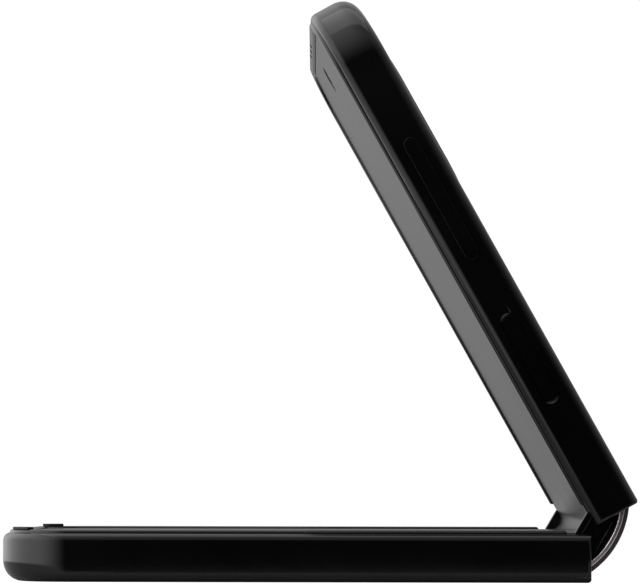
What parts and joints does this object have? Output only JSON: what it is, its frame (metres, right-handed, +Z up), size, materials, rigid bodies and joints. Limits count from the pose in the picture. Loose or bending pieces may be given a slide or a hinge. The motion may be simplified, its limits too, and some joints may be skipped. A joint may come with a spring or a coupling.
{
  "type": "personal digital assistant",
  "caption": "Folding pocket computer: two slim rounded halves on a geared two-axis spine, one bending screen inside, with side keys, a raised rim and a camera island on the back.",
  "frame": {"origin": "centre of the lower half's flat back face, on which the object rests", "axes": "+Z up out of that face, +X along the lower half from its tip to the hinge, +Y across the width along the hinge axis, away from the side with the keys"},
  "size_m": [0.0908, 0.074, 0.0838],
  "materials": {
    "frame_metal": "satin black anodised aluminium",
    "back_glass": "gloss black glass",
    "rim_plastic": "satin black moulded rim",
    "screen_film": "flexible display under gloss film, switched off",
    "plate_steel": "bare steel",
    "hinge_steel": "machined steel",
    "spine_metal": "gloss dark anodised aluminium",
    "key_metal": "satin black anodised aluminium",
    "rubber": "matt black rubber",
    "cell_foil": "dark wrapped cell or module",
    "board_lacquer": "lacquered circuit board",
    "copper": "copper winding or foil",
    "lens_glass": "dark coated lens glass",
    "light_plastic": "pale diffusing plastic"
  },
  "bodies": {
    "lower_half": {"lower_frame": "frame_metal", "lower_back_cover": "back_glass", "lower_rim": "rim_plastic", "lower_screen": "screen_film", "lower_screen_plate": "plate_steel", "main_battery": "cell_foil", "charging_coil": "copper", "sub_board": "board_lacquer", "usb_c_port": "plate_steel", "loudspeaker": "rubber", "vibration_motor": "plate_steel", "bumper_near": "rubber", "bumper_far": "rubber", "lower_wing_near": "hinge_steel", "lower_wing_far": "hinge_steel"},
    "spine": {"spine_cover": "spine_metal", "spine_end_cap_near": "rim_plastic", "spine_end_cap_far": "rim_plastic", "hinge_base_near": "hinge_steel", "hinge_base_far": "hinge_steel", "rim_bridge_near": "rim_plastic", "rim_bridge_far": "rim_plastic", "screen_fold": "screen_film", "hinge_flex_cable": "copper"},
    "upper_half": {"upper_frame": "frame_metal", "upper_back_cover": "back_glass", "upper_rim": "rim_plastic", "upper_screen": "screen_film", "upper_screen_plate": "plate_steel", "upper_battery": "cell_foil", "main_board": "board_lacquer", "front_camera": "lens_glass", "earpiece": "rubber", "camera_island": "key_metal", "main_camera_lens": "lens_glass", "wide_camera_lens": "lens_glass", "rear_camera_module": "cell_foil", "flash_window": "light_plastic", "cover_display": "lens_glass", "upper_wing_near": "hinge_steel", "upper_wing_far": "hinge_steel"},
    "volume_key": {"volume_key": "key_metal"},
    "power_key": {"power_key": "key_metal"},
    "sim_tray": {"sim_tray": "frame_metal"}
  },
  "joints": [
    {"name": "lower_hinge", "type": "hinge", "parent": "lower_half", "child": "spine", "pos_m": [0.04027, 0, 0.00664], "axis": [0, 1, 0], "range_deg": [-30.93, 59.62], "deforming": ["screen_fold", "hinge_flex_cable"]},
    {"name": "upper_hinge", "type": "hinge", "parent": "spine", "child": "upper_half", "pos_m": [0.0421, 0, 0.00975], "axis": [0, 1, 0], "range_deg": [-30.93, 59.62], "deforming": ["screen_fold", "hinge_flex_cable"]},
    {"name": "volume_rock", "type": "hinge", "parent": "upper_half", "child": "volume_key", "pos_m": [0.02063, -0.0352, 0.05452], "axis": [-0.8726, 0, -0.4885], "range_deg": [-1, 1], "stiffness_Nm_per_rad": 0.4},
    {"name": "power_press", "type": "slide", "parent": "upper_half", "child": "power_key", "axis": [0, 1, 0], "range_m": [0, 0.0003], "stiffness_N_per_m": 4000},
    {"name": "sim_tray_slide", "type": "slide", "parent": "upper_half", "child": "sim_tray", "axis": [0, 1, 0], "range_m": [0, 0.014]}
  ],
  "couplings": [
    {"joint": "lower_hinge", "follows": "upper_hinge", "ratio": 1}
  ]
}
